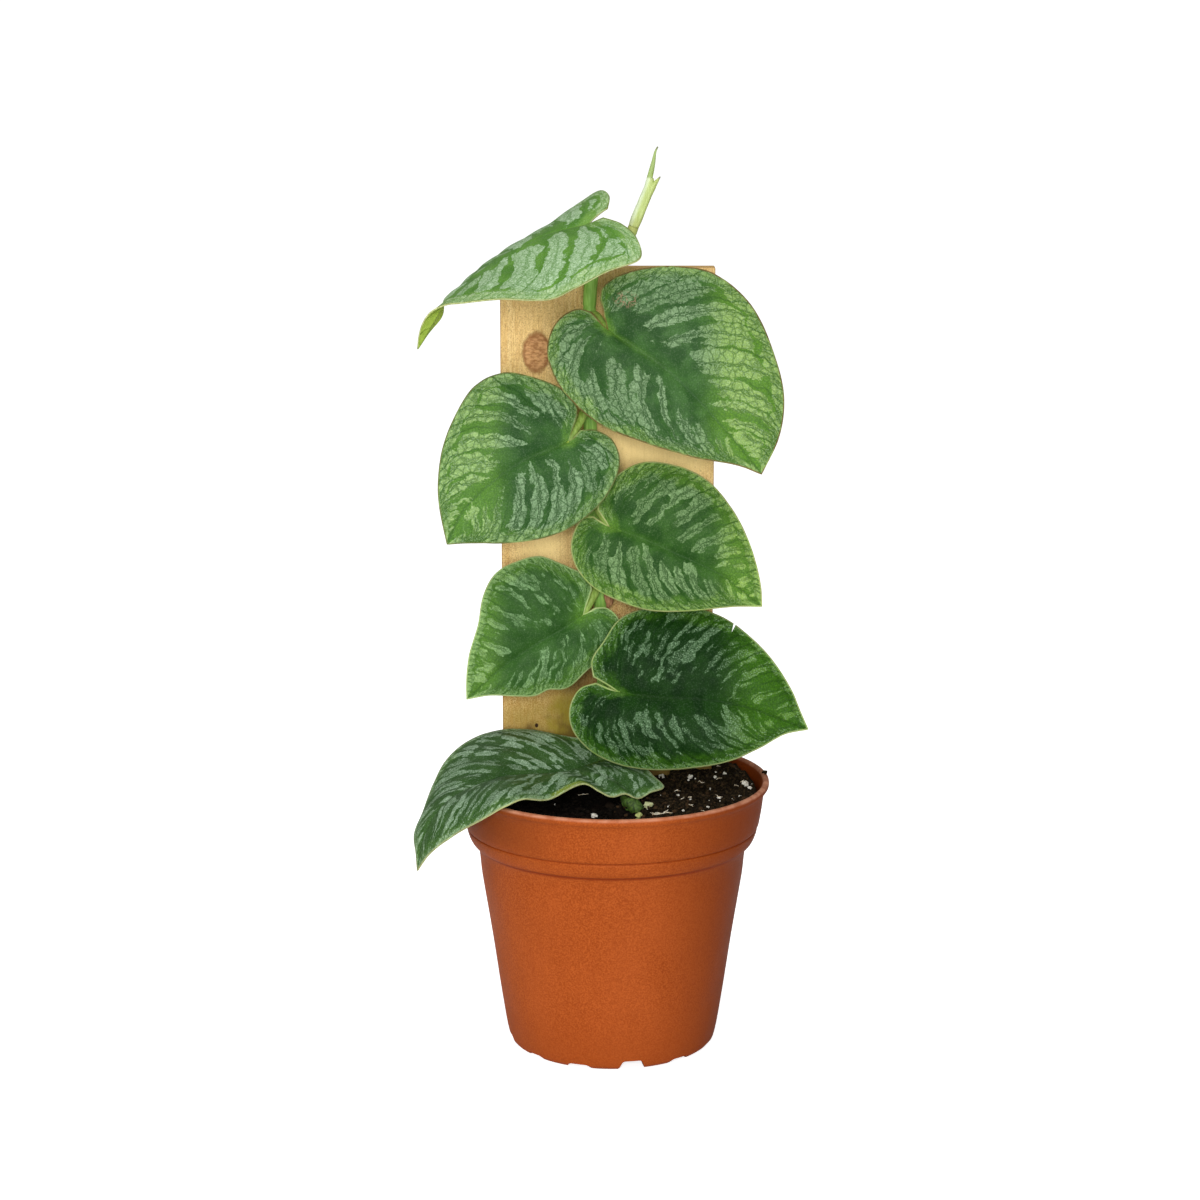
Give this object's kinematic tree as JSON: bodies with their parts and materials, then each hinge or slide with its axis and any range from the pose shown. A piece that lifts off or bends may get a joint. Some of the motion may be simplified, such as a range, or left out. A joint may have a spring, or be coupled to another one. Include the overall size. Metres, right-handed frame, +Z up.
{
  "type": "potted climbing aroid on a wooden plank",
  "caption": "Young shingle-leaved climbing house plant in a plastic nursery pot of soil, growing up a flat wooden plank that stands in the soil.",
  "frame": {"origin": "on the pot's axis, in the plane that the pot stands on", "axes": "+Z up, along the pot's axis; the plank's planted face and the leaves face -Y; +X is to the right of someone who looks at them"},
  "size_m": [0.1353, 0.1084, 0.3091],
  "materials": {
    "pot_plastic": "terracotta-coloured plastic, matte, finely speckled",
    "soil": "dark damp peat with bark and pale grains",
    "board_wood": "rough sawn pale softwood with a knot, green and brown stains near the soil",
    "stem": "smooth fleshy green stem",
    "leaf": "satin leaf, dark green along its veins and silver-green between them",
    "shoot": "smooth pale yellow-green young growth"
  },
  "bodies": {
    "root": {"pot": "pot_plastic", "soil": "soil", "board": "board_wood", "stem": "stem", "leaf_1": "leaf", "leaf_2": "leaf", "leaf_3": "leaf", "leaf_4": "leaf", "leaf_5": "leaf", "leaf_6": "leaf", "leaf_7": "leaf", "new_shoot": "shoot"}
  },
  "joints": []
}
